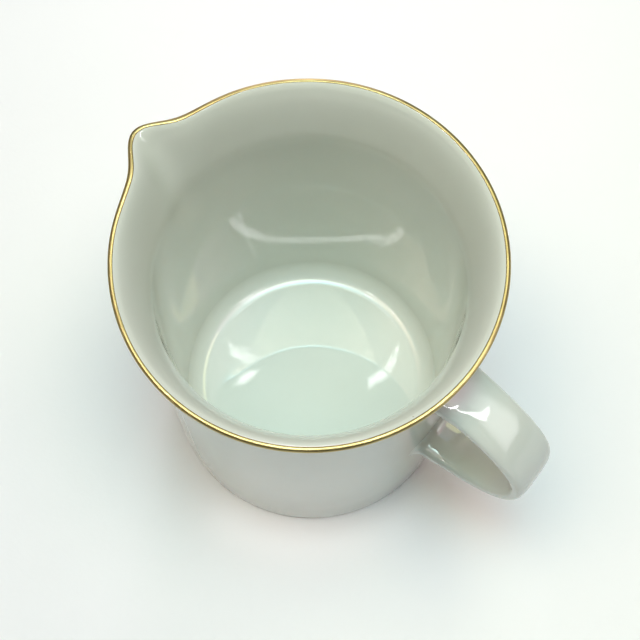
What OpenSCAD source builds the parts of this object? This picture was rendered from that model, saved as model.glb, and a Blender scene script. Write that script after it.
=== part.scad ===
// Porcelain cream jug: a slightly tapered cast body with a flared lip and a small
// drawn-out spout, a strap handle stuck on with slip, and a gold line on the rim.
// Millimetres. The origin is on the jug's axis, in the plane that it stands on.
// +Z is up, the handle is towards +X and the spout is towards -X.

/* [Body] */
// Outer diameter of the rim, away from the spout
rim_d = 79.5; // [78.5:0.5:83]
// Height of the rim, away from the spout
body_h = 87.6; // [85:0.2:92]
// Outer diameter of the wall where the lip starts to flare
neck_d = 71; // [70:0.5:72]
// Outer diameter that the wall would have in the plane of the foot
base_d = 68.8; // [67:0.2:70]
// Thickness of the wall where the lip starts to flare
neck_wall = 2.7; // [2.4:0.1:3.2]
// Thickness of the wall at the floor
base_wall = 3.7; // [3:0.1:4]
// Thickness of the floor
floor_t = 3; // [2.6:0.1:3.6]
// Height at which the lip starts to flare
flare_z = 74; // [72:0.5:76]
// Lean of the lip from upright where the inner flare starts
flare_lean = 16; // [10:1:18]
// Lean of the lip from upright at the rim
rim_lean = 36; // [32:1:42]
// Thickness of the rim
rim_t = 1.3; // [1.2:0.1:2]
// Radius between the wall and the floor, inside
cove_r = 4.8; // [4:0.2:8]
// Radius of the outer bottom edge
edge_r = 1.5; // [1.2:0.1:2]

/* [Foot ring] */
// Outer diameter of the unglazed ring that the jug stands on
foot_d = 64; // [60:0.2:64]
// Width of the unglazed ring
foot_w = 1.9; // [1.5:0.1:2.5]
// Depth of the hollow under the floor
foot_h = 1.5; // [1:0.1:2]
// Height of the bare ring below the glaze
foot_bare = 0.35; // [0.2:0.05:0.5]

/* [Spout] */
// How far the nose stands out past the round rim
nose_reach = 5; // [3:0.2:6]
// Half width of the nose, as an angle at the jug's axis
nose_half = 8.2; // [7:0.2:10]
// How far the rim rises at the nose
nose_rise = 2.2; // [0:0.2:3]
// How far the rim is drawn in beside the nose
flank_pinch = 0.25; // [0:0.05:0.8]
// Height at which the spout starts to leave the wall
spout_z = 56; // [50:1:64]

/* [Handle] */
// Width of the strap
strap_w = 12.4; // [11:0.2:15]
// Thickness of the strap
strap_t = 3.6; // [3:0.1:4.4]
// Distance from the jug's axis to the outside of the handle
handle_reach = 60.2; // [58:0.2:64]
// Height of the middle of the upper joint
upper_z = 70; // [68:0.2:70.4]
// Height of the outermost point of the handle
elbow_z = 51; // [49:0.5:53]
// Height of the middle of the lower joint
lower_z = 34.6; // [32:0.2:38]
// Thickness of the slip between the body and the handle
slip_t = 0.9; // [0.6:0.1:1.5]

/* [Gold line] */
// Thickness of the gold line
gold_t = 0.1; // [0.08:0.02:0.2]
// Steps of the rim's rounding, from the outside, at which the line starts
gold_first = 0; // [0:1:3]
// Steps of the rim's rounding at which the line ends, inside
gold_last = 10; // [7:1:11]

/* [Hidden] */

// Radii and slopes of the two faces of the wall
rim_r = rim_d / 2;
neck_out = neck_d / 2;
neck_in = neck_out - neck_wall;
base_out = base_d / 2;
floor_z = foot_h + floor_t;
base_in = base_out - base_wall;
out_lean = atan((neck_out - base_out) / flare_z);
in_lean = atan((neck_in - base_in) / (flare_z - floor_z));

// Steps: finer round the spout than round the rest of the rim
fine_arc = 24;
fine_step = 2;
coarse_step = 6;
lip_steps = 6;
rim_steps = 12;
round_steps = 5;
wall_steps = 3;

// The strap's outline and how it widens towards both joints
strap_points = 24;
strap_power = 3.2;
path_steps = 13;
root_flare = 0.4;
root_length = 4;

// The slip's spread where it meets the wall, and how far its solid runs on inside it
slip_steps = 5;
slip_run = slip_t + 2.4;
slip_spread = 0.5;
slip_power = 1.2;

function lerp(a, b, t) = a + (b - a) * t;
function smooth(t) = let (u = max(0, min(1, t))) u * u * (3 - 2 * u);
function bell(x, half) = exp(-pow(x / half, 2));

// Angles round the axis, measured from the spout
turn = concat(
    [for (a = [-fine_arc : fine_step : fine_arc]) a],
    [for (a = [fine_arc + coarse_step : coarse_step : 360 - fine_arc - coarse_step / 2]) a]
);
function from_spout(a) = a > 180 ? 360 - a : abs(a);

// ---- Section through the wall: [radius, height, side], side 0 outside, 1 inside

function wall_out(z) = base_out + z * tan(out_lean);
function wall_in(z) = base_in + (z - floor_z) * tan(in_lean);

// Curve from p to q that leaves and arrives at the given leans from upright
function lip_curve(p, lean_p, q, lean_q, t) =
    let (
        gap = q - p,
        reach = (gap[0] * cos(lean_q) - gap[1] * sin(lean_q)) / sin(lean_p - lean_q),
        bend = p + reach * [sin(lean_p), cos(lean_p)]
    )
    (1 - t) * (1 - t) * p + 2 * t * (1 - t) * bend + t * t * q;

// The rim's rounding, from where the outer curve ends to where the inner one starts
rim_mid = [rim_r - rim_t / 2, body_h - rim_t / 2];
rim_start = 2 + (round_steps + 1) + (wall_steps + 1) + (lip_steps - 1);
function rim_angle(i) = 180 * i / rim_steps - rim_lean;
function rim_edge(a, r = rim_t / 2) = rim_mid + r * [cos(a), sin(a)];

edge_mid = [wall_out(foot_bare + edge_r) - edge_r / cos(out_lean), foot_bare + edge_r];
cove_mid = [wall_in(floor_z + cove_r) - cove_r / cos(in_lean), floor_z + cove_r];
hollow_r = foot_d / 2 - foot_w - 0.4;

section = concat(
    [[hollow_r - 0.8, foot_h, 0], [hollow_r, foot_bare, 0]],
    [for (i = [0 : round_steps]) let (a = lerp(-90, -out_lean, i / round_steps))
        [edge_mid[0] + edge_r * cos(a), edge_mid[1] + edge_r * sin(a), 0]],
    [for (i = [0 : wall_steps]) let (z = lerp(spout_z, flare_z, i / wall_steps)) [wall_out(z), z, 0]],
    [for (i = [1 : lip_steps - 1])
        let (p = lip_curve([neck_out, flare_z], out_lean, rim_edge(-rim_lean), rim_lean, i / lip_steps))
        [p[0], p[1], 0]],
    [for (i = [0 : rim_steps]) let (p = rim_edge(rim_angle(i))) [p[0], p[1], i / rim_steps]],
    [for (i = [lip_steps - 1 : -1 : 0])
        let (p = lip_curve([neck_in, flare_z], flare_lean, rim_edge(180 - rim_lean), rim_lean, i / lip_steps))
        [p[0], p[1], 1]],
    [for (i = [1 : wall_steps]) let (z = lerp(flare_z, spout_z, i / wall_steps)) [wall_in(z), z, 1]],
    [for (i = [0 : round_steps]) let (a = lerp(-in_lean, -90, i / round_steps))
        [cove_mid[0] + cove_r * cos(a), cove_mid[1] + cove_r * sin(a), 1]]
);

// The section's point p at angle a from the spout, with the lip drawn out and up
function drawn(p, a) =
    let (
        away = from_spout(a),
        pull = smooth((p[1] - spout_z) / (body_h - spout_z)),
        nose = nose_reach * lerp(1, 0.94, p[2]) * bell(away, nose_half * lerp(1, 0.9, p[2])),
        flank = flank_pinch * bell(away - 19.5, 9),
        radius = p[0] + pull * (nose - flank),
        height = p[1] + pull * nose_rise * bell(away, 30)
    )
    [-radius * cos(a), -radius * sin(a), height];

// ---- Solids made from rings of points

// Solid from rings of points with the same number each: a stack with its first and
// last ring closed off, or a hoop whose last ring joins the first
module rings_solid(rings, hoop = false) {
    count = len(rings[0]);
    last = len(rings) - 1;
    sides = [
        for (j = [0 : hoop ? last : last - 1], i = [0 : count - 1])
            let (k = (i + 1) % count, n = (j + 1) % (last + 1))
            [j * count + i, n * count + i, n * count + k, j * count + k]
    ];
    bottom = [for (i = [0 : count - 1]) i];
    top = [for (i = [count - 1 : -1 : 0]) last * count + i];
    polyhedron(
        points = [for (ring = rings, p = ring) p],
        faces = hoop ? sides : concat([bottom], sides, [top])
    );
}

// Points of a section drawn right round the jug
function round_jug(points) = [for (p = points) [for (a = turn) drawn(p, a)]];

// ---- The handle: a strap that follows two cubic curves in the plane Y = 0

elbow_x = handle_reach - strap_t / 2;
upper_root = [wall_out(upper_z) + slip_t, upper_z];
lower_root = [wall_out(lower_z) + slip_t, lower_z];
elbow = [elbow_x, elbow_z];
upper_curve = [upper_root, upper_root + [9.2, -0.7], elbow + [0, 9.5], elbow];
lower_curve = [elbow, elbow - [0, 8], lower_root + [17.5, -0.4], lower_root];

function cubic(c, t) =
    pow(1 - t, 3) * c[0] + 3 * t * pow(1 - t, 2) * c[1] + 3 * t * t * (1 - t) * c[2] + pow(t, 3) * c[3];
function cubic_way(c, t) =
    let (v = pow(1 - t, 2) * (c[1] - c[0]) + 2 * t * (1 - t) * (c[2] - c[1]) + t * t * (c[3] - c[2]))
    v / norm(v);

// The strap's outline in its own plane, grown by a margin: [across, out]
function blunt(v, power) = sign(v) * pow(abs(v), 2 / power);
function strap_outline(grow) = [
    for (i = [0 : strap_points - 1]) let (a = 360 * i / strap_points)
        [(strap_w / 2 + grow) * blunt(cos(a), strap_power), (strap_t / 2 + grow) * blunt(sin(a), strap_power)]
];

// The outline placed at a point of the path, across the way that the path runs
function strap_ring(at, way, grow) = [
    for (p = strap_outline(grow))
        [at[0] - way[1] * p[1], p[0], at[1] + way[0] * p[1]]
];

function root_grow(at) = root_flare * bell(at[0] - upper_root[0], root_length);
function curve_rings(c, first) = [
    for (i = [first : path_steps]) let (t = i / path_steps, at = cubic(c, t))
        strap_ring(at, cubic_way(c, t), root_grow(at))
];

// The outer face of the wall as a plain solid that runs on past both joints, to cut the
// slip; its facets are the body's own
module wall_plug() {
    rings_solid([
        for (z = [lower_z - 15, flare_z + 10])
            [for (a = turn) [-wall_out(z) * cos(a), -wall_out(z) * sin(a), z]]
    ]);
}

// Slip that spreads from the end of the strap onto the wall
module joint_slip(root, way) {
    difference() {
        rings_solid([
            for (i = [0 : slip_steps]) let (run = slip_run * i / slip_steps)
                strap_ring(root + way * run, way, root_flare + slip_spread * pow(run / slip_t, slip_power))
        ]);
        wall_plug();
    }
}

// ---- Sub-parts

module body() {
    color("whitesmoke") {
        rings_solid(round_jug(section));
        rotate_extrude($fn = 96)
            translate([foot_d / 2 - foot_w, 0])
                square([foot_w, foot_h]);
    }
}

module handle() {
    color("whitesmoke") rings_solid(concat(curve_rings(upper_curve, 0), curve_rings(lower_curve, 1)));
}

module upper_joint_slip() {
    color("white") joint_slip(upper_root, -cubic_way(upper_curve, 0));
}

module lower_joint_slip() {
    color("white") joint_slip(lower_root, cubic_way(lower_curve, 1));
}

module gold_line() {
    edge = [for (i = [gold_first : gold_last]) section[rim_start + i]];
    skin = [
        for (i = [gold_first : gold_last])
            let (p = rim_edge(rim_angle(i), rim_t / 2 + gold_t))
            [p[0], p[1], i / rim_steps]
    ];
    inner = [for (i = [len(edge) - 1 : -1 : 0]) edge[i]];
    color("goldenrod") rings_solid(round_jug(concat(skin, inner)), hoop = true);
}

body();
handle();
upper_joint_slip();
lower_joint_slip();
gold_line();
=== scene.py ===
"""Looks of the porcelain cream jug: glazed body and strap handle, fired gold line, and a plain studio.

Lengths are millimetres, turned into metres when a mesh is made. The origin is on the jug's axis, in the
plane that it stands on; +Z is up, the handle is towards +X and the spout towards -X.
"""

import math

import bpy
import numpy as np
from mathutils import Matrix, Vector


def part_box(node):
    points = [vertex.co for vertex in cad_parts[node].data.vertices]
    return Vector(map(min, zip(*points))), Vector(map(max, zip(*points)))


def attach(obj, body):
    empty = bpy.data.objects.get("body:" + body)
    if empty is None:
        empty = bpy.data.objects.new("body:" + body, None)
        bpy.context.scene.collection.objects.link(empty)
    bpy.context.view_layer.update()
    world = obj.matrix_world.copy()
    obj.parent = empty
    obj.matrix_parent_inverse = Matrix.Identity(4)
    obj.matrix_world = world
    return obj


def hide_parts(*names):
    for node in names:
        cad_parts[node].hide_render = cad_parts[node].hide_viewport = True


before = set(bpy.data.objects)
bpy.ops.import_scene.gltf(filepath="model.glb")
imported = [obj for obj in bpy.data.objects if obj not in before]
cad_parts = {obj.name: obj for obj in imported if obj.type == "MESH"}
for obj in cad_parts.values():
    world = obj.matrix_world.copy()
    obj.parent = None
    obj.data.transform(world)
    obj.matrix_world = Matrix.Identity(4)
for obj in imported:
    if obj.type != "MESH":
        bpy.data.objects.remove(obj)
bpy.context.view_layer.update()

MM = 0.001
BODY_HIGH = np.array(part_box("body")[1]) / MM
HANDLE_HIGH = np.array(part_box("handle")[1]) / MM

# ---- Sizes of the body, as in the CAD section, and the lean that the lip's inner edge rolls over to
NOSE_RISE = 2.2
RIM_R = BODY_HIGH[1]
BODY_H = BODY_HIGH[2] - NOSE_RISE
RIM_T = 1.3
NECK_OUT, NECK_WALL, FLARE_Z = 35.5, 2.7, 74.0
BASE_OUT, BASE_WALL, FLOOR_Z = 34.4, 3.7, 4.5
NECK_IN, BASE_IN = NECK_OUT - NECK_WALL, BASE_OUT - BASE_WALL
OUT_LEAN = math.atan((NECK_OUT - BASE_OUT) / FLARE_Z)
IN_LEAN = math.atan((NECK_IN - BASE_IN) / (FLARE_Z - FLOOR_Z))
FLARE_LEAN, RIM_LEAN, ROLL_LEAN = math.radians(16), math.radians(36), math.radians(60)
COVE_R, EDGE_R = 4.8, 1.5
FOOT_OUT, FOOT_IN, FOOT_BARE, HOLLOW_Z, HOLLOW_R = 32.0, 30.1, 0.35, 1.5, 29.0
SPOUT_Z, NOSE_REACH, NOSE_HALF, FLANK_PINCH = 56.0, 5.0, 8.2, 0.25
FLANK_AT, FLANK_HALF, RISE_HALF = 19.5, 9, 30
INNER_REACH, INNER_HALF = 0.94, 0.9

# ---- Sizes of the handle
STRAP_W, STRAP_T, STRAP_POWER = 12.4, 3.6, 3.2
HANDLE_REACH = HANDLE_HIGH[0]
UPPER_Z, ELBOW_Z, LOWER_Z, SLIP_T = 70.0, 51.0, 34.6, 0.9

# ---- Fineness of the meshes
AROUND = 720
ROWS_CHANGE_Z = 55.0
COVE_ROW_GAP = 0.2


def lerp(a, b, t):
    return a + (b - a) * t


def smooth(t):
    u = np.clip(t, 0, 1)
    return u * u * (3 - 2 * u)


def bell(x, half):
    return np.exp(-((x / half) ** 2))


# ---- The body's section: rows of radius, height and side, where side is 0 outside and 1 inside

def wall_out(z):
    return BASE_OUT + z * math.tan(OUT_LEAN)


def wall_in(z):
    return BASE_IN + (z - FLOOR_Z) * math.tan(IN_LEAN)


def arc(mid, radius, first, last, steps):
    """Points of an arc in the section, by angle in radians from +radius towards +height."""
    a = np.linspace(first, last, steps + 1)
    return np.stack([mid[0] + radius * np.cos(a), mid[1] + radius * np.sin(a)], 1)


def bezier2(p, bend, q, steps):
    t = np.linspace(0, 1, steps + 1)[:, None]
    return (1 - t) ** 2 * p + 2 * t * (1 - t) * bend + t ** 2 * q


def lip_curve(p, lean_p, q, lean_q, steps):
    """Curve from p to q that leaves and arrives at the given leans from upright."""
    gap = q - p
    reach = (gap[0] * math.cos(lean_q) - gap[1] * math.sin(lean_q)) / math.sin(lean_p - lean_q)
    bend = p + reach * np.array([math.sin(lean_p), math.cos(lean_p)])
    return bezier2(p, bend, q, steps)


def straight(p, q, steps):
    """Points after p, up to and with q."""
    return np.linspace(p, q, steps + 1)[1:]


RIM_MID = np.array([RIM_R - RIM_T / 2, BODY_H - RIM_T / 2])


def rim_edge(angle):
    return RIM_MID + RIM_T / 2 * np.array([math.cos(angle), math.sin(angle)])


def body_section():
    """The whole section from the middle of the underside, out, up, over the rim and in to the middle of
    the floor. Rows close to the ends of the cove keep its curved shading off its neighbours."""
    bend_half = 2.6
    edge_mid = [wall_out(FOOT_BARE + EDGE_R) - EDGE_R / math.cos(OUT_LEAN), FOOT_BARE + EDGE_R]
    cove_mid = [wall_in(FLOOR_Z + COVE_R) - COVE_R / math.cos(IN_LEAN), FLOOR_Z + COVE_R]
    cove_top, cove_end = cove_mid[1] + COVE_ROW_GAP, cove_mid[0] - COVE_ROW_GAP
    soft = 0.2
    under = np.concatenate([
        straight(np.array([0.4, HOLLOW_Z + 0.25]), np.array([HOLLOW_R - 1, HOLLOW_Z]), 3),
        arc([HOLLOW_R - 1, HOLLOW_Z - 0.7], 0.7, math.pi / 2, 0.25, 5)[1:],
        arc([FOOT_IN + soft, soft], soft, math.pi, 1.5 * math.pi, 4),
        arc([FOOT_OUT - soft, soft], soft, 1.5 * math.pi, 2 * math.pi, 4),
        [[FOOT_OUT + 0.05, FOOT_BARE - 0.08]],
    ])
    outer_change = np.array([wall_out(ROWS_CHANGE_Z), ROWS_CHANGE_Z])
    inner_change = np.array([wall_in(ROWS_CHANGE_Z), ROWS_CHANGE_Z])
    outer = np.concatenate([
        arc(edge_mid, EDGE_R, -math.pi / 2, -OUT_LEAN, 8),
        straight(np.array([wall_out(3), 3.0]), outer_change, 5),
        straight(outer_change, np.array([NECK_OUT, FLARE_Z]), 9),
        lip_curve(np.array([NECK_OUT, FLARE_Z]), OUT_LEAN, rim_edge(-RIM_LEAN), RIM_LEAN, 12)[1:-1],
    ])
    rim_turn = np.linspace(0, math.pi - ROLL_LEAN + RIM_LEAN, 11)
    rim = np.array([rim_edge(a - RIM_LEAN) for a in rim_turn])
    corner = np.array([NECK_IN, FLARE_Z])
    after = corner + bend_half * np.array([math.sin(FLARE_LEAN), math.cos(FLARE_LEAN)])
    tip = rim_edge(math.pi - ROLL_LEAN)
    roll_reach, leans = 0.8, (ROLL_LEAN, RIM_LEAN)
    roll = tip - roll_reach * sum(np.array([math.sin(lean), math.cos(lean)]) for lean in leans)
    flare = np.concatenate([
        lip_curve(after, FLARE_LEAN, roll, RIM_LEAN, 14)[:-1],
        lip_curve(roll, RIM_LEAN, tip, ROLL_LEAN, 6),
    ])
    before = corner - bend_half * np.array([math.sin(IN_LEAN), math.cos(IN_LEAN)])
    inner = np.concatenate([
        flare[-2:0:-1],
        bezier2(after, corner, before, 14),
        straight(before, inner_change, 9),
        straight(inner_change, np.array([wall_in(cove_top), cove_top]), 5),
        arc(cove_mid, COVE_R, -IN_LEAN, -math.pi / 2, 16),
        [[cove_end, FLOOR_Z]],
        straight(np.array([cove_end, FLOOR_Z]), np.array([0.4, FLOOR_Z]), 3),
    ])
    side = np.concatenate([
        np.zeros(len(under) + len(outer)), rim_turn / math.pi, np.ones(len(inner)),
    ])
    return np.column_stack([np.concatenate([under, outer, rim, inner]), side])


def drawn(points, angles, paired=False):
    """Rings round the jug from section points, with the lip drawn out and up at the spout. Angles are
    degrees from the spout. Each section point gives a ring, or one point at its own angle where paired."""
    r, z, side = (points[:, i] if paired else points[:, i][:, None] for i in range(3))
    away = np.abs((angles + 180) % 360 - 180)
    pull = np.clip((z - SPOUT_Z) / (BODY_H - SPOUT_Z), 0, 1) ** 2
    nose = NOSE_REACH * lerp(1, INNER_REACH, side) * bell(away, NOSE_HALF * lerp(1, INNER_HALF, side))
    flank = FLANK_PINCH * bell(away - FLANK_AT, FLANK_HALF)
    turn = np.radians(angles)
    radius = r + pull * (nose - flank)
    height = z + pull * NOSE_RISE * bell(away, RISE_HALF)
    return np.stack([-radius * np.cos(turn), -radius * np.sin(turn), height + 0 * turn], -1)


# ---- Meshes

def make_mesh(name, points, faces, materials, normals=None):
    """A smooth-shaded object from points in millimetres, with its own normals where they are given."""
    mesh = bpy.data.meshes.new(name)
    mesh.from_pydata((np.asarray(points) * MM).tolist(), [], faces)
    mesh.shade_smooth()
    if normals is not None:
        mesh.normals_split_custom_set_from_vertices(normals.tolist())
    for material in materials:
        mesh.materials.append(material)
    piece = bpy.data.objects.new(name, mesh)
    bpy.context.scene.collection.objects.link(piece)
    return piece


def ring_faces(rings, around, hoop=False):
    """Quads between neighbouring rings of points; a hoop's last ring joins its first."""
    faces = []
    for j in range(rings if hoop else rings - 1):
        k = (j + 1) % rings
        for i in range(around):
            n = (i + 1) % around
            faces.append((j * around + i, j * around + n, k * around + n, k * around + i))
    return faces


def grid_normals(rings):
    """Outward unit normals of a grid of rings, from its own slopes."""
    along = np.gradient(rings, axis=0)
    around = np.roll(rings, -1, axis=1) - np.roll(rings, 1, axis=1)
    normals = np.cross(around, along)
    return normals / np.linalg.norm(normals, axis=2)[..., None]


def capped_tube(name, rings, normals, materials):
    """A closed tube whose flat ends have points of their own, so that they leave the shading alone."""
    count, around = rings.shape[:2]
    points = np.concatenate([rings.reshape(-1, 3), rings[0], rings[-1]])
    first, last = count * around, (count + 1) * around
    faces = ring_faces(count, around)
    faces.append(tuple(first + i for i in reversed(range(around))))
    faces.append(tuple(last + i for i in range(around)))
    ends = [np.cross(ring[around // 3] - ring[0], ring[1] - ring[0]) for ring in (rings[0], rings[-1])]
    flat = [np.tile(sign * end / np.linalg.norm(end), (around, 1)) for sign, end in zip((1, -1), ends)]
    return make_mesh(name, points, faces, materials, np.concatenate([normals.reshape(-1, 3), *flat]))


def make_body(glaze, bisque):
    section = body_section()
    angles = np.arange(AROUND) * 360 / AROUND
    rings = drawn(section, angles)
    points = rings.reshape(-1, 3)
    faces = ring_faces(len(rings), AROUND)
    last = len(points) - AROUND
    faces.append(tuple(reversed(range(AROUND))))
    faces.append(tuple(last + i for i in range(AROUND)))
    piece = make_mesh("glazed_body", points, faces, [glaze, bisque])
    for face in piece.data.polygons:
        centre = face.center / MM
        radius = math.hypot(centre.x, centre.y)
        bare = centre.z < FOOT_BARE - 0.05 and FOOT_IN - 0.1 < radius < FOOT_OUT + 0.1
        face.material_index = 1 if bare else 0
    return piece


def make_gold(gold):
    """A closed skin over the rim's rounding, with the slightly unsteady edges of a painted band."""
    lift, sunk, steps = 0.05, -0.08, 20
    angles = np.arange(AROUND) * 360 / AROUND
    away = np.minimum(angles, 360 - angles)
    turn = np.radians(angles)
    waves = ((3, 0.4), (7, 2.1), (16, 4.0), (37, 1.2))
    unsteady = sum(np.sin(k * turn + phase) / k ** 0.5 for k, phase in waves)
    first = np.radians(-math.degrees(RIM_LEAN) - 2 + 1.2 * unsteady)
    last = np.radians(126 + 2.2 * unsteady + 12 * bell(away - 16, 12))
    shares = np.linspace(0, 1, steps + 1)
    top = [(share, lift if 0 < share < 1 else sunk / 2) for share in shares]
    back = [(share, sunk) for share in shares[::-2]]
    rings = []
    for share, over in top + back:
        spot = lerp(first, last, share)
        section = [
            RIM_MID[0] + (RIM_T / 2 + over) * np.cos(spot),
            RIM_MID[1] + (RIM_T / 2 + over) * np.sin(spot),
            (spot + RIM_LEAN) / math.pi,
        ]
        rings.append(drawn(np.stack(section, 1), angles, True))
    faces = ring_faces(len(rings), AROUND, hoop=True)
    piece = make_mesh("gold_rim_line", np.array(rings).reshape(-1, 3), faces, [gold])
    across = piece.data.attributes.new("across", "FLOAT", "POINT")
    across.data.foreach_set("value", np.repeat([share for share, _ in top + back], AROUND))
    return piece


# ---- The handle

def cubic(c, t):
    t = t[:, None]
    return (1 - t) ** 3 * c[0] + 3 * t * (1 - t) ** 2 * c[1] + 3 * t ** 2 * (1 - t) * c[2] + t ** 3 * c[3]


def handle_path():
    """Middle line of the strap in the plane Y = 0, closely spaced, with both ends inside the wall."""
    elbow = np.array([HANDLE_REACH - STRAP_T / 2, ELBOW_Z])
    upper_root = np.array([wall_out(UPPER_Z) + SLIP_T, UPPER_Z])
    lower_root = np.array([wall_out(LOWER_Z) + SLIP_T, LOWER_Z])
    upper = [upper_root, upper_root + [9.2, -0.7], elbow + [0, 9.5], elbow]
    lower = [elbow, elbow - [0, 8], lower_root + [17.5, -0.4], lower_root]
    t = np.linspace(0, 1, 241)
    first, last = upper[0] - upper[1], lower[3] - lower[2]
    run_in = SLIP_T + 0.6
    start = upper_root + first / np.linalg.norm(first) * np.linspace(run_in, 0, 30)[:-1, None]
    end = lower_root + last / np.linalg.norm(last) * np.linspace(0, run_in, 30)[1:, None]
    return np.concatenate([start, cubic(upper, t), cubic(lower, t)[1:], end])


def strap_outline():
    """Outline of the strap's section within -1..1, with a point for each step along it or turn of it."""
    step, bend = 0.5, math.radians(7)
    a = np.linspace(0, 2 * math.pi, 1441)
    power = 2 / STRAP_POWER
    outline = np.stack([np.sign(w) * np.abs(w) ** power for w in (np.cos(a), np.sin(a))], 1)
    moves = np.diff(outline * [STRAP_W / 2, STRAP_T / 2], axis=0)
    heading = np.unwrap(np.arctan2(moves[:, 1], moves[:, 0]))
    turns = np.abs(np.diff(heading, prepend=heading[0]))
    measure = np.concatenate([[0], np.cumsum(np.hypot(*moves.T) / step + turns / bend)])
    spots = np.linspace(0, measure[-1], 1 + round(measure[-1]))[:-1]
    return np.stack([np.interp(spots, measure, outline[:, k]) for k in range(2)], 1)


def make_handle(glaze):
    """The strap and the soft slip fillets at its two roots, cut from one run of rings."""
    fillet, root_flare, flare_length = 1.9, 0.4, 4
    path = handle_path()
    steps = np.linalg.norm(np.diff(path, axis=0), axis=1)
    along = np.concatenate([[0], np.cumsum(steps)])
    way = np.gradient(path, along, axis=0)
    way /= np.linalg.norm(way, axis=1)[:, None]
    gap = path[:, 0] - wall_out(path[:, 1])

    half = len(path) // 2
    turn = np.linspace(0, math.pi / 2, 13)
    gaps = np.concatenate([[-0.35], fillet * (1 - np.cos(turn))])
    from_top = np.interp(gaps, gap[:half], along[:half])
    from_foot = np.interp(gaps, gap[half:][::-1], along[half:][::-1])[::-1]
    middle = np.linspace(from_top[-1], from_foot[0], 122)[1:-1]
    stations = np.concatenate([from_top, middle, from_foot])

    across, out = strap_outline().T
    rings = []
    for s in stations:
        at = np.array([np.interp(s, along, path[:, k]) for k in range(2)])
        to = np.array([np.interp(s, along, way[:, k]) for k in range(2)])
        near = at[0] - wall_out(at[1])
        rise = fillet - math.sqrt(max(0, fillet ** 2 - max(0, fillet - max(near, 0)) ** 2))
        grow = rise + root_flare * bell(max(near - 1, 0), flare_length)
        y = (STRAP_W / 2 + grow) * across
        h = (STRAP_T / 2 + grow) * out
        x_flat = at[0] - to[1] * h
        z = at[1] + to[0] * h
        x_wall = np.sqrt(wall_out(z) ** 2 - y ** 2) + near
        follow = 1 - smooth((near - fillet) / 4)
        rings.append(np.stack([lerp(x_flat, x_wall, follow), y, z], 1))
    rings = np.array(rings)
    normals = grid_normals(rings)

    cut = len(from_top) - 1
    spans = {
        "upper_joint_fillet": slice(0, cut + 1),
        "strap_handle": slice(cut, len(rings) - cut),
        "lower_joint_fillet": slice(len(rings) - cut - 1, None),
    }
    return {name: capped_tube(name, rings[span], normals[span], [glaze]) for name, span in spans.items()}


# ---- Materials: texture lengths are in metres, so a noise of scale 100 has features about 10 mm wide

def node(tree, kind, sockets=None, **settings):
    """A shader node with its settings. Sockets maps an input to another node's output or to a value."""
    made = tree.nodes.new("ShaderNode" + kind)
    for key, value in settings.items():
        setattr(made, key, value)
    for key, value in (sockets or {}).items():
        if isinstance(value, bpy.types.NodeSocket):
            tree.links.new(value, made.inputs[key])
        else:
            made.inputs[key].default_value = value
    return made


def new_material(name, **constants):
    """A material, its node tree and its Principled shader with constants set by socket name."""
    material = bpy.data.materials.new(name)
    material.use_nodes = True
    tree = material.node_tree
    shader = tree.nodes["Principled BSDF"]
    for key, value in constants.items():
        shader.inputs[key.replace("_", " ")].default_value = value
    return material, tree, shader


def noise(tree, where, scale, detail=2.0, roughness=0.5):
    sockets = {"Vector": where, "Scale": scale, "Detail": detail, "Roughness": roughness}
    return node(tree, "TexNoise", sockets).outputs[0]


def ramp(tree, value, *stops):
    """Colour from a value through stops of (place, grey or colour)."""
    made = node(tree, "ValToRGB", {"Fac": value})
    band = made.color_ramp
    while len(band.elements) < len(stops):
        band.elements.new(1)
    for element, (place, colour) in zip(band.elements, stops):
        element.position = place
        element.color = (*(colour if isinstance(colour, tuple) else (colour,) * 3), 1)
    return made.outputs["Color"]


def stretch(tree, value, low, high, out_low, out_high):
    """A value from low..high laid onto out_low..out_high."""
    sockets = {"Value": value, "From Min": low, "From Max": high, "To Min": out_low, "To Max": out_high}
    return node(tree, "MapRange", sockets).outputs["Result"]


def math_node(tree, operation, a, b=0.0):
    return node(tree, "Math", {0: a, 1: b}, operation=operation).outputs[0]


def mix(tree, share, under, over):
    """A colour between two colours or colour outputs."""
    mixer = node(tree, "Mix", {"Factor": share}, data_type="RGBA")
    for slot, colour in ((6, under), (7, over)):
        if isinstance(colour, tuple):
            mixer.inputs[slot].default_value = (*colour, 1)
        else:
            tree.links.new(colour, mixer.inputs[slot])
    return mixer.outputs[2]


def bump(tree, shader, height, depth):
    made = node(tree, "Bump", {"Height": height, "Strength": 1.0, "Distance": depth})
    tree.links.new(made.outputs[0], shader.inputs["Normal"])


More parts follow.
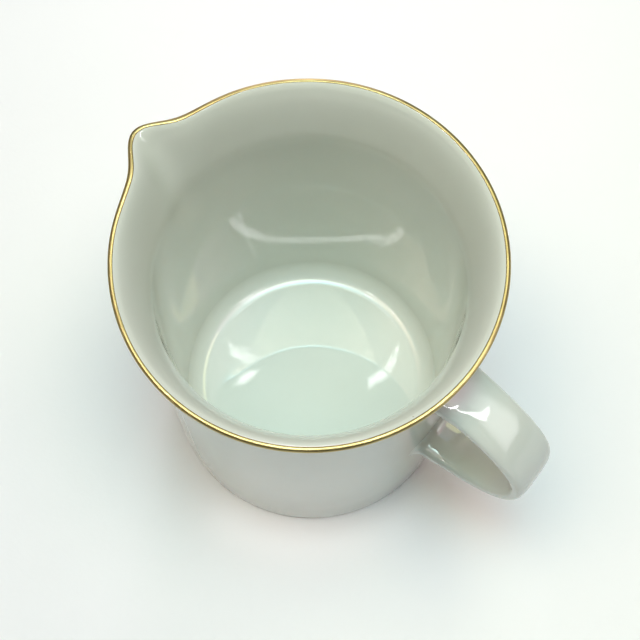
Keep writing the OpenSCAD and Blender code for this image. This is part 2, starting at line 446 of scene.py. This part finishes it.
def glaze_material():
    """Clear glaze over greenish-white porcelain: faint clouds, orange-peel ripple and a few iron specks."""
    material, tree, shader = new_material("glazed_porcelain", IOR=1.55)
    where = node(tree, "TexCoord").outputs["Object"]
    cloudy = noise(tree, where, 45, 3)
    clouds = ramp(tree, cloudy, (0.3, (0.685, 0.722, 0.668)), (0.7, (0.715, 0.752, 0.702)))
    grain = stretch(tree, noise(tree, where, 1400, 2), 0.3, 0.7, 0, 0.05)
    body_colour = mix(tree, grain, clouds, (0.64, 0.66, 0.60))
    cells = node(tree, "TexVoronoi", {"Vector": where, "Scale": 110.0})
    dot = stretch(tree, cells.outputs["Distance"], 0.012, 0.024, 1, 0)
    draw = node(tree, "SeparateColor", {0: cells.outputs["Color"]}).outputs[0]
    rare = math_node(tree, "GREATER_THAN", draw, 0.88)
    speck = math_node(tree, "MULTIPLY", dot, rare)
    colour = mix(tree, math_node(tree, "MULTIPLY", speck, 0.6), body_colour, (0.30, 0.21, 0.12))
    tree.links.new(colour, shader.inputs["Base Color"])
    gloss = stretch(tree, noise(tree, where, 130, 4), 0.3, 0.7, 0.0, 0.03)
    tree.links.new(gloss, shader.inputs["Roughness"])
    ripple = math_node(tree, "ADD", noise(tree, where, 210, 1), math_node(tree, "MULTIPLY", speck, 0.6))
    bump(tree, shader, ripple, 0.000003)
    return material


def bisque_material():
    """The bare foot ring: dry, fine-grained and a little warmer, with grey rub marks from the table."""
    material, tree, shader = new_material("bare_porcelain")
    where = node(tree, "TexCoord").outputs["Object"]
    grain = noise(tree, where, 2600, 4, 0.65)
    rubbed = stretch(tree, noise(tree, where, 260, 3), 0.52, 0.66, 0, 0.5)
    dry = ramp(tree, grain, (0.3, (0.60, 0.57, 0.50)), (0.7, (0.76, 0.74, 0.67)))
    tree.links.new(mix(tree, rubbed, dry, (0.42, 0.41, 0.39)), shader.inputs["Base Color"])
    tree.links.new(stretch(tree, grain, 0.3, 0.7, 0.62, 0.85), shader.inputs["Roughness"])
    bump(tree, shader, grain, 0.00003)
    return material


def gold_material():
    """Bright gold fired onto the glaze: brush marks across the band, and dark olive-brown edges that are
    partly a thin film of gold and partly painted shade standing for the dark edge that the rim reflects.
    """
    material, tree, shader = new_material("fired_gold", Metallic=1.0)
    where = node(tree, "TexCoord").outputs["Object"]
    place = node(tree, "SeparateXYZ", {0: where})
    around = math_node(tree, "ARCTAN2", place.outputs["Y"], place.outputs["X"])
    across = node(tree, "Attribute", attribute_name="across").outputs["Fac"]
    brushed = node(tree, "CombineXYZ", {
        "X": math_node(tree, "MULTIPLY", around, 150.0), "Y": math_node(tree, "MULTIPLY", across, 1.6),
    }).outputs[0]
    marks = noise(tree, brushed, 1.0, 3, 0.6)
    pooled = noise(tree, where, 160, 3)
    rich = ramp(tree, pooled, (0.3, (0.40, 0.31, 0.13)), (0.7, (0.56, 0.45, 0.20)))
    middle = math_node(tree, "ABSOLUTE", math_node(tree, "SUBTRACT", across, 0.5))
    ragged = math_node(tree, "ADD", middle, stretch(tree, marks, 0.3, 0.7, -0.03, 0.03))
    # Both edges of the band go dark olive brown: partly a thin gold film, partly painted shade for the dark
    # edge that the rim reflects.
    edge = stretch(tree, ragged, 0.33, 0.48, 0, 1)
    tree.links.new(mix(tree, edge, rich, (0.15, 0.115, 0.04)), shader.inputs["Base Color"])
    worn = stretch(tree, marks, 0.3, 0.7, 0.30, 0.46)
    rough = math_node(tree, "ADD", worn, math_node(tree, "MULTIPLY", edge, 0.15))
    tree.links.new(rough, shader.inputs["Roughness"])
    bump(tree, shader, marks, 0.000006)
    return material


def table_material():
    """White painted table top with a trace of grain."""
    material, tree, shader = new_material("white_table", Roughness=0.6)
    where = node(tree, "TexCoord").outputs["Object"]
    mottle = noise(tree, where, 14, 4)
    tone = ramp(tree, mottle, (0.3, (0.865, 0.872, 0.868)), (0.7, (0.885, 0.892, 0.888)))
    tree.links.new(tone, shader.inputs["Base Color"])
    bump(tree, shader, noise(tree, where, 900, 3), 0.00002)
    return material


glaze = glaze_material()
bisque = bisque_material()
gold = gold_material()

body = make_body(glaze, bisque)
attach(body, "root")
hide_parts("body")

rim_line = make_gold(gold)
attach(rim_line, "root")
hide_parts("gold_line")

STANDS_FOR = {
    "upper_joint_fillet": "upper_joint_slip",
    "strap_handle": "handle",
    "lower_joint_fillet": "lower_joint_slip",
}
for name, piece in make_handle(glaze).items():
    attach(piece, "root")
    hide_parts(STANDS_FOR[name])

# ---- Studio: directions are right, away from the camera and up, turned to where the camera stands

VIEW = Vector((-0.2009, 0.2715, -0.9412))
AWAY = Vector((VIEW.x, VIEW.y, 0)).normalized()
RIGHT = AWAY.cross(Vector((0, 0, 1)))
CAMERA_PLACE = (64.34, -83.26, 343.0)
LAMP_Z = 343


def studio(right, away, up):
    """A place in metres from studio millimetres."""
    return (RIGHT * right + AWAY * away + Vector((0, 0, up))) * MM


def link(name, data):
    thing = bpy.data.objects.new(name, data)
    bpy.context.scene.collection.objects.link(thing)
    return thing


def add_camera():
    data = bpy.data.cameras.new("camera")
    data.lens, data.sensor_width = 78.75, 36
    data.shift_x, data.shift_y = -0.5 / 640, 0.5 / 640
    data.clip_start, data.clip_end = 0.01, 20
    camera = link("camera", data)
    camera.location = Vector(CAMERA_PLACE) * MM
    camera.rotation_mode = "QUATERNION"
    camera.rotation_quaternion = VIEW.to_track_quat("-Z", "Y")
    bpy.context.scene.camera = camera


def add_softbox(name, place, target, width, colour):
    """A round soft lamp; colour holds its strength in red, green and blue."""
    data = bpy.data.lights.new(name, "AREA")
    data.shape = "DISK"
    data.size = width * MM
    data.energy = max(colour)
    data.color = [part / data.energy for part in colour]
    lamp = link(name, data)
    lamp.location = studio(*place)
    lamp.rotation_mode = "QUATERNION"
    lamp.rotation_quaternion = (studio(*target) - studio(*place)).to_track_quat("-Z", "Y")
    lamp.visible_camera = False


def add_glow(name, strength, path, widths, height=LAMP_Z, only=None):
    """A flat strip lamp, brightest along its middle, that only shows where the glaze and the gold mirror it,
    or that only lights one object. Path is its middle line, right and away in studio millimetres, and
    widths has one width for the whole strip or one for each point of the path."""
    path = np.array(path, float)
    way = np.gradient(path, axis=0)
    side = np.stack([-way[:, 1], way[:, 0]], 1) / np.linalg.norm(way, axis=1)[:, None]
    reach = np.reshape(widths, (-1, 1)) / 2 * side
    points = np.stack([path + reach, path, path - reach], 1).reshape(-1, 2)
    faces = [(k, k + 1, k + 4, k + 3) for j in range(0, len(points) - 3, 3) for k in (j, j + 1)]
    mesh = bpy.data.meshes.new(name)
    mesh.from_pydata([studio(right, away, height) for right, away in points.tolist()], [], faces)
    core = mesh.attributes.new("core", "FLOAT", "POINT")
    ends = (0, len(path) - 1)
    core.data.foreach_set("value", [part for k in range(len(path)) for part in (0, k not in ends, 0)])
    material = bpy.data.materials.new(name)
    material.use_nodes = True
    tree = material.node_tree
    tree.nodes.clear()
    inside = node(tree, "Attribute", attribute_name="core").outputs["Fac"]
    glow = node(tree, "Emission", {"Strength": stretch(tree, inside, 0, 0.8, 0, strength)})
    clear = node(tree, "BsdfTransparent")
    both = node(tree, "AddShader", {0: glow.outputs[0], 1: clear.outputs[0]})
    node(tree, "OutputMaterial", {"Surface": both.outputs[0]})
    mesh.materials.append(material)
    strip = link(name, mesh)
    strip.visible_camera = strip.visible_shadow = False
    if only is None:
        strip.visible_diffuse = False
    else:
        strip.visible_glossy = False
        receivers = bpy.data.collections.new(name)
        receivers.objects.link(only)
        strip.light_linking.receiver_collection = receivers


def bow(radius, middle, first, last, steps=60):
    """Points of an arc in the studio's plan, by degrees from right towards away."""
    a = np.radians(np.linspace(first, last, steps + 1))
    return np.stack([middle[0] + radius * np.cos(a), middle[1] + radius * np.sin(a)], 1)


def add_floor():
    mesh = bpy.data.meshes.new("floor")
    reach = 3.0
    corners = [(-reach, -reach, 0), (reach, -reach, 0), (reach, reach, 0), (-reach, reach, 0)]
    mesh.from_pydata(corners, [], [(0, 1, 2, 3)])
    mesh.materials.append(table_material())
    floor = link("floor", mesh)
    return floor


def add_sky(lobes):
    """Soft light from all round: each lobe has a compass turn from away towards right, a height above the
    table, both in degrees, how tight it is, and its colour and strength."""
    world = bpy.data.worlds.new("studio")
    bpy.context.scene.world = world
    world.use_nodes = True
    tree = world.node_tree
    where = node(tree, "TexCoord").outputs["Generated"]
    total = None
    for turn, height, tight, colour in lobes:
        a, e = math.radians(turn), math.radians(height)
        level = RIGHT * math.sin(a) * math.cos(e) + AWAY * math.cos(a) * math.cos(e)
        towards = level + Vector((0, 0, math.sin(e)))
        facing = node(tree, "VectorMath", {0: where, 1: towards}, operation="DOT_PRODUCT").outputs["Value"]
        fall = math_node(tree, "MULTIPLY", math_node(tree, "SUBTRACT", facing, 1.0), tight)
        share = math_node(tree, "EXPONENT", fall)
        glow = node(tree, "VectorMath", {0: colour, "Scale": share}, operation="SCALE").outputs[0]
        total = node(tree, "VectorMath", {0: total, 1: glow}).outputs[0] if total else glow
    tree.links.new(total, tree.nodes["Background"].inputs["Color"])


add_camera()
floor = add_floor()
add_sky([
    (0, 90, 80, (0.0, 7.6, 10.4)),
    (120, 79, 60, (5.2, 5.1, 3.95)),
    (240, 79, 60, (1.7, 1.3, 1.4)),
    (90, 68, 35, (3.4, 2.3, 2.9)),
    (270, 68, 35, (6.3, 5.0, 3.8)),
])
add_softbox("lens_box", (0, -20, 343), (0, -20, 0), 110, (0.18, 0.166, 0.12))
add_softbox("right_box", (120, 100, 343), (120, 100, 0), 110, (0.12, 0.128, 0.06))
add_softbox("far_box", (0, 300, 200), (0, 0, 30), 110, (0.23, 0.196, 0.223))
add_glow("ring_lamp", 42, bow(165, (0, 18.6), 214, 311), 4)
add_glow("left_arm_lamp", 80, [(92, -121), (103, -115), (128, -93), (147, -78), (158, -68)],
         [2, 5, 8, 9, 8], 344)
add_glow("right_arm_lamp", 80, [(-115, -97), (-131, -77), (-148, -54), (-158, -40), (-176, -12), (-186, 20)],
         [2, 6, 8, 9, 6, 6], 344)
add_glow("left_spot_lamp", 70, [(68, 24), (63, 20), (59, 11), (54, -2), (48, -16)], [3, 7, 9, 9, 5])
add_glow("left_tip_lamp", 9, [(-41, 102), (-37, 106), (-33, 109), (-28, 112)], [3, 7, 6, 1])
add_glow("right_spot_lamp", 70, [(-67, 32), (-60, 26), (-53, 19), (-44, 12)], [4, 9, 10, 6])
add_glow("right_tip_lamp", 9, [(40, 112), (34, 109), (28, 105), (27, 100)], [4, 7, 7, 2])
add_glow("handle_lamp", 24, [(100, -95), (140, -96), (220, -98), (320, -103), (350, -105)],
         [6, 10, 20, 42, 46])
add_glow("handle_halo_lamp", 3.5, [(200, -50), (330, -90), (520, -160), (800, -260), (1300, -450)],
         [60, 150, 260, 420, 600], 350)
add_glow("table_glow", 0.4, bow(41, (0, 0), 232, 308), 8, 6, floor)
bpy.context.scene.view_settings.view_transform = "Standard"
